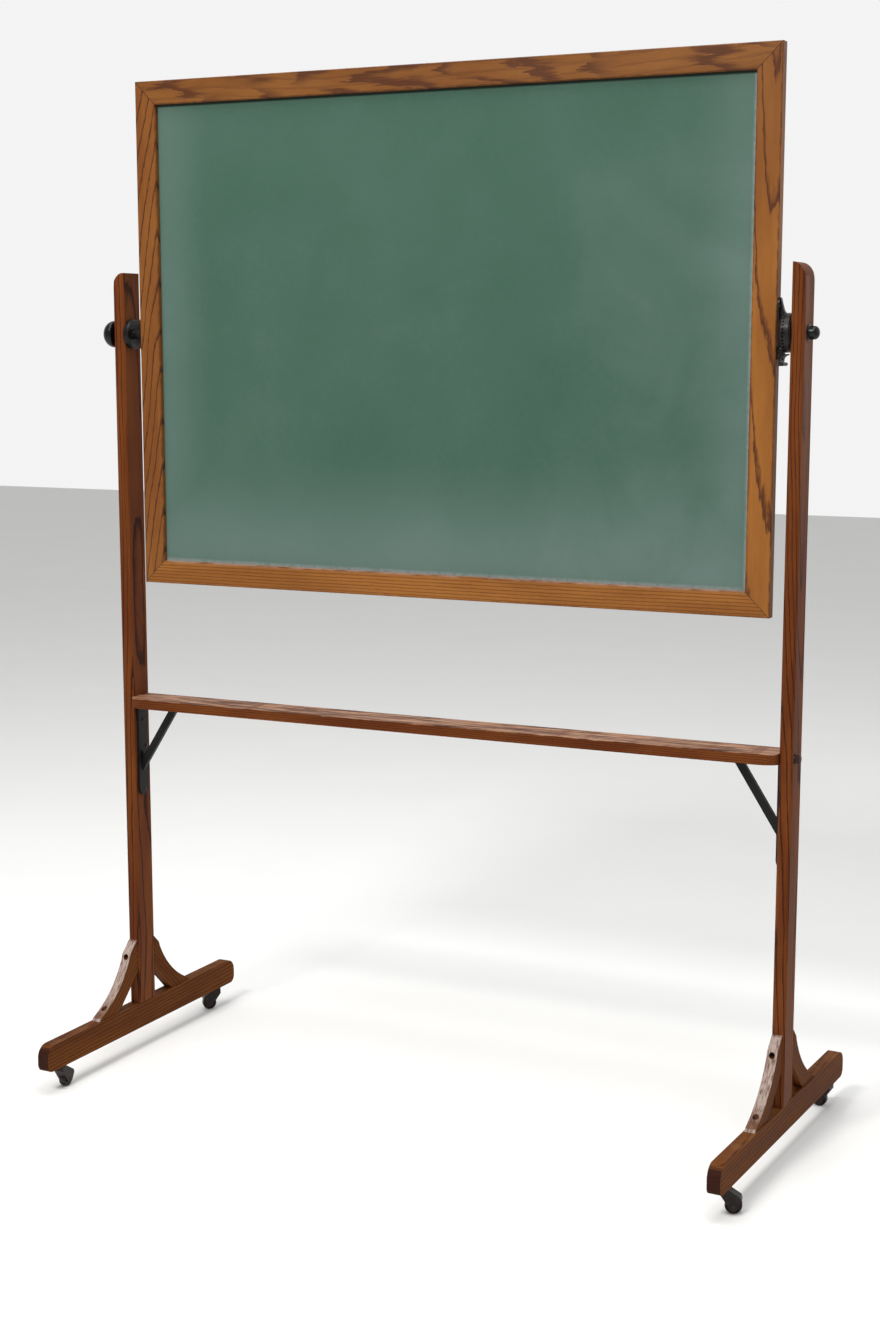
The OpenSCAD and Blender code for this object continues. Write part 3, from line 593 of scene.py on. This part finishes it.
def rail_shadow(graph, x, rise):
    """Painted shadow under the top rail and beside the left stile."""
    under_rail = graph.fade(graph.sub(SIGHT_HALF_H, rise), 2.5 * MM, 6.0 * MM, start=0.88, end=0.0)
    beside_stile = graph.fade(graph.add(x, SIGHT_HALF_W), 0.8 * MM, 2.2 * MM, start=0.6, end=0.0)
    return graph.largest(under_rail, beside_stile)


def chalk_surface():
    """Green slate paint, wiped many times."""
    graph = Graph("green_slate")
    place = graph.place()
    x, y, z = graph.split(place)
    rise = graph.sub(z, BOARD_MID_Z)
    cloud = graph.noise(place, 3.2, detail=4.0, roughness=0.55)
    smear = graph.noise(graph.stretch(place, SMEAR_STRETCH, (3, 0, 7)), 1.0,
                        detail=4.0, roughness=0.6, distortion=0.6)
    mottle = graph.noise(place, 70.0, detail=4.0, roughness=0.7)
    speck = graph.noise(place, 900.0, detail=2.0, roughness=0.6)
    colour = graph.mix(graph.fade(mottle, 0.35, 0.70, end=0.22), graph.ramp(cloud, GREEN_TONES), GREEN_MOTTLE)
    colour = graph.mix(chalk_haze(graph, x, rise, smear), colour, CHALK_HAZE)
    colour = graph.mix(chalk_rim(graph, x, rise, mottle), colour, CHALK_DUST)
    colour = graph.mix(graph.fade(speck, 0.55, 0.75, end=0.10), colour, CHALK_SPECK)
    colour = graph.mix(rail_shadow(graph, x, rise), colour, RAIL_SHADOW)
    height = graph.add(graph.mul(speck, 0.5), graph.mul(mottle, 0.5))
    normal = graph.bump(height, 0.12 * MM, strength=0.4)
    return graph.finish(colour, 0.72, normal, Specular_IOR_Level=0.2)


# ---------- iron ----------

IRON_CLOUD_REPEATS = 90.0
IRON_GRIT_REPEATS = 900.0
IRON_GLOSS = 0.3


def iron(name, base, worn, roughness, wear_share, metallic, pit=0.15 * MM):
    """Old iron: clouded colour, paler worn patches, fine pits."""
    graph = Graph(name)
    place = graph.place()
    cloud = graph.noise(place, IRON_CLOUD_REPEATS, detail=4.0, roughness=0.6)
    grit = graph.noise(place, IRON_GRIT_REPEATS, detail=3.0, roughness=0.65)
    colour = graph.mix(graph.fade(cloud, 0.42, 0.7, end=wear_share), base, worn)
    rough = graph.add(roughness, graph.mul(graph.sub(cloud, 0.5), 0.3))
    normal = graph.bump(graph.add(cloud, graph.mul(grit, 0.4)), pit, strength=0.6)
    return graph.finish(colour, rough, normal, Metallic=metallic, Specular_IOR_Level=IRON_GLOSS)


def dress_iron():
    cast = iron("pivot_iron", base=(0.085, 0.075, 0.075), worn=(0.22, 0.19, 0.185),
                roughness=0.40, wear_share=0.40, metallic=0.35)
    gloss = iron("black_knob", base=(0.022, 0.022, 0.025), worn=(0.05, 0.05, 0.05),
                 roughness=0.30, wear_share=0.3, metallic=0.0, pit=0.02 * MM)
    matte = iron("bracket_iron", base=(0.050, 0.045, 0.042), worn=(0.095, 0.085, 0.08),
                 roughness=0.55, wear_share=0.4, metallic=0.2)
    screw = iron("screw_steel", base=(0.17, 0.15, 0.14), worn=(0.36, 0.34, 0.33),
                 roughness=0.38, wear_share=0.5, metallic=0.8)
    rusty = iron("bolt_iron", base=(0.20, 0.14, 0.12), worn=(0.33, 0.25, 0.22),
                 roughness=0.50, wear_share=0.5, metallic=0.6)
    caster = iron("caster_iron", base=(0.105, 0.078, 0.072), worn=(0.22, 0.17, 0.16),
                  roughness=0.42, wear_share=0.5, metallic=0.35)
    tread = iron("caster_tread", base=(0.15, 0.115, 0.11), worn=(0.34, 0.29, 0.28),
                 roughness=0.36, wear_share=0.6, metallic=0.6)
    chosen = {
        "left_board_plate": cast, "right_board_plate": cast, "left_pivot_dish": cast,
        "right_pivot_disc": cast, "release_lever": cast, "clamp_knob": gloss, "right_cap_knob": gloss,
        "left_tray_bracket": matte, "right_tray_bracket": matte, "board_plate_screws": screw,
        "pivot_stud": screw, "lever_pin": screw, "right_pivot_pin": screw, "brace_screws": screw,
        "tray_bracket_screws": screw, "tray_end_bolt": rusty, "tray_bolt_washer": rusty,
        "caster_sockets": caster,
    }
    for side in SIDES:
        for end in ENDS:
            place = side + "_" + end
            chosen["fork_" + place] = caster
            chosen["axle_" + place] = screw
            chosen["wheel_" + place] = tread
    for node, material in chosen.items():
        dress(node, material)


# ---------- edges ----------

POST_EASE = 2.4 * MM
WOOD_EASE = 1.2 * MM
IRON_EASE = 0.5 * MM
EASE_ANGLE = 32.0


def ease(node, width, segments=2):
    """Rounds a CAD node's hard edges with a modifier."""
    soften = NODES[node].modifiers.new("ease", "BEVEL")
    soften.width = width
    soften.segments = segments
    soften.limit_method = "ANGLE"
    soften.angle_limit = math.radians(EASE_ANGLE)
    soften.harden_normals = False


def ease_edges():
    for side in SIDES:
        ease(side + "_post", POST_EASE, 4)
        ease(side + "_foot", WOOD_EASE)
        ease(side + "_tray_bracket", IRON_EASE)
        ease(side + "_board_plate", IRON_EASE)
        for end in ENDS:
            ease("brace_" + side + "_" + end, WOOD_EASE)
    ease("chalk_tray", WOOD_EASE)


# ---------- stage ----------

FLOOR_HALF = 14.0
PAPER = ((0.93, 0.93, 0.925), (0.945, 0.945, 0.94))
LIT_MIDDLE = (0.0, 0.0, 1.1)
WORLD_FADE = (("From Min", -0.1), ("From Max", 0.7), ("To Min", 0.40), ("To Max", 0.90))
CAMERA_PLACE = (1.67586, -3.52088, 1.49629)
CAMERA_TURN = 25.391
CAMERA_DIP = 9.047
CAMERA_LENS = 54.87
SENSOR_HEIGHT = 36.0


def stage():
    """A plain pale floor."""
    graph = Graph("floor_paper")
    tone = graph.mix(graph.noise(graph.place(), 3.0), *PAPER)
    paper = graph.finish(tone, 0.9)
    corners = [(x * FLOOR_HALF, y * FLOOR_HALF, 0) for x, y in ((-1, -1), (1, -1), (1, 1), (-1, 1))]
    mesh = bpy.data.meshes.new("floor")
    mesh.from_pydata(corners, [], [(0, 1, 2, 3)])
    floor = bpy.data.objects.new("floor", mesh)
    mesh.materials.append(paper)
    bpy.context.scene.collection.objects.link(floor)


def area_light(name, place, target, size, power, tint=(1.0, 1.0, 1.0)):
    data = bpy.data.lights.new(name, "AREA")
    data.shape = "RECTANGLE"
    data.size, data.size_y = size
    data.energy = power
    data.color = tint
    lamp = bpy.data.objects.new(name, data)
    lamp.location = place
    lamp.rotation_euler = (Vector(target) - Vector(place)).to_track_quat("-Z", "Y").to_euler()
    bpy.context.scene.collection.objects.link(lamp)


def lights():
    area_light("key", place=(-0.6, -4.6, 5.2), target=LIT_MIDDLE, size=(1.3, 1.0), power=215.0,
               tint=(1.0, 0.98, 0.95))
    area_light("overhead", place=(0.0, -0.5, 4.6), target=(0.0, -0.1, 0.0), size=(3.6, 2.6), power=130.0)
    area_light("side", place=(5.5, -0.5, 3.2), target=(0.6, 0.0, 1.3), size=(2.2, 2.2), power=12.0,
               tint=(0.97, 0.98, 1.0))


def surroundings():
    """White all round, dimmer in front of the board than behind it."""
    world = bpy.data.worlds.new("studio")
    world.use_nodes = True
    tree = world.node_tree
    sky = tree.nodes["Background"]
    sky.inputs["Color"].default_value = (1.0, 1.0, 1.0, 1.0)
    way = tree.nodes.new("ShaderNodeSeparateXYZ")
    tree.links.new(tree.nodes.new("ShaderNodeTexCoord").outputs["Generated"], way.inputs[0])
    backdrop = tree.nodes.new("ShaderNodeMapRange")
    backdrop.interpolation_type = "SMOOTHSTEP"
    for key, number in WORLD_FADE:
        backdrop.inputs[key].default_value = number
    tree.links.new(way.outputs["Y"], backdrop.inputs["Value"])
    tree.links.new(backdrop.outputs["Result"], sky.inputs["Strength"])
    bpy.context.scene.world = world


def camera():
    """A standing viewer's eye, to the right of the board, looking slightly down."""
    data = bpy.data.cameras.new("camera")
    data.sensor_fit = "VERTICAL"
    data.sensor_height = SENSOR_HEIGHT
    data.lens = CAMERA_LENS
    shot = bpy.data.objects.new("camera", data)
    shot.location = CAMERA_PLACE
    shot.rotation_euler = Euler((math.radians(90.0 - CAMERA_DIP), 0.0, math.radians(CAMERA_TURN)))
    bpy.context.scene.collection.objects.link(shot)
    bpy.context.scene.camera = shot


dress_board_frame()
dress_stand()
dress_tray()
dress("writing_panel", chalk_surface())
dress_iron()
ease_edges()
stage()
lights()
surroundings()
camera()
bpy.context.scene.view_settings.view_transform = "Standard"
